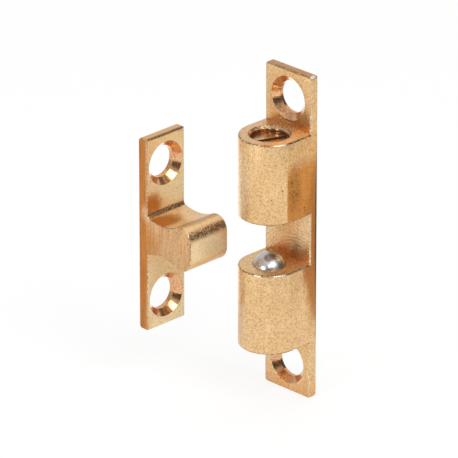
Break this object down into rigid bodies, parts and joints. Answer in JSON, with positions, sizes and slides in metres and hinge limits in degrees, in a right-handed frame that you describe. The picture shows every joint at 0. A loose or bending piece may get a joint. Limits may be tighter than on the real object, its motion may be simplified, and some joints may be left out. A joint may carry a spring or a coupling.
{
  "type": "double ball catch",
  "caption": "Brass furniture door catch: a slim plate with half-round housings whose sprung steel balls grip the waisted tongue of a separate strike.",
  "frame": {"origin": "middle of the catch body's back face, which screws to the cabinet", "axes": "+Z along the catch body, +Y out of its back face into the cabinet side, +X across it, the way the strike comes in"},
  "size_m": [0.0191, 0.0169, 0.05],
  "materials": {
    "body_brass": "satin, drawn and tumbled",
    "strike_brass": "satin, sawn flanks",
    "screw_brass": "turned",
    "ball_steel": "polished",
    "spring_steel": "drawn wire"
  },
  "bodies": {
    "catch_body": {"catch_body": "body_brass"},
    "upper_ball": {"upper_ball": "ball_steel"},
    "lower_ball": {"lower_ball": "ball_steel"},
    "upper_spring": {"upper_spring": "spring_steel"},
    "lower_spring": {"lower_spring": "spring_steel"},
    "upper_adjusting_screw": {"upper_adjusting_screw": "screw_brass"},
    "lower_adjusting_screw": {"lower_adjusting_screw": "screw_brass"},
    "strike": {"strike": "strike_brass"}
  },
  "joints": [
    {"name": "upper_ball_press", "type": "slide", "parent": "catch_body", "child": "upper_ball", "axis": [0, 0, 1], "range_m": [0, 0.00177], "stiffness_N_per_m": 2000, "springref_m": -0.002, "deforming": ["upper_spring"]},
    {"name": "upper_screw_feed", "type": "slide", "parent": "catch_body", "child": "upper_spring", "axis": [0, 0, -1], "range_m": [-0.00075, 0.00075], "deforming": ["upper_spring"]},
    {"name": "upper_screw_turn", "type": "hinge", "parent": "upper_spring", "child": "upper_adjusting_screw", "pos_m": [0, -0.0051, 0.01535], "axis": [0, 0, -1], "range_deg": [-360, 360]},
    {"name": "lower_ball_press", "type": "slide", "parent": "catch_body", "child": "lower_ball", "axis": [0, 0, -1], "range_m": [0, 0.00177], "stiffness_N_per_m": 2000, "springref_m": -0.002, "deforming": ["lower_spring"]},
    {"name": "lower_screw_feed", "type": "slide", "parent": "catch_body", "child": "lower_spring", "axis": [0, 0, 1], "range_m": [-0.00075, 0.00075], "deforming": ["lower_spring"]},
    {"name": "lower_screw_turn", "type": "hinge", "parent": "lower_spring", "child": "lower_adjusting_screw", "pos_m": [0, -0.0051, -0.01535], "axis": [0, 0, 1], "range_deg": [-360, 360]},
    {"name": "strike_approach", "type": "slide", "parent": "catch_body", "child": "strike", "axis": [0.3504, 0.9366, 0], "range_m": [0, 0.00859]}
  ],
  "couplings": [
    {"joint": "upper_screw_turn", "follows": "upper_screw_feed", "rad_per_m": 8377.6},
    {"joint": "lower_screw_turn", "follows": "lower_screw_feed", "rad_per_m": 8377.6}
  ]
}
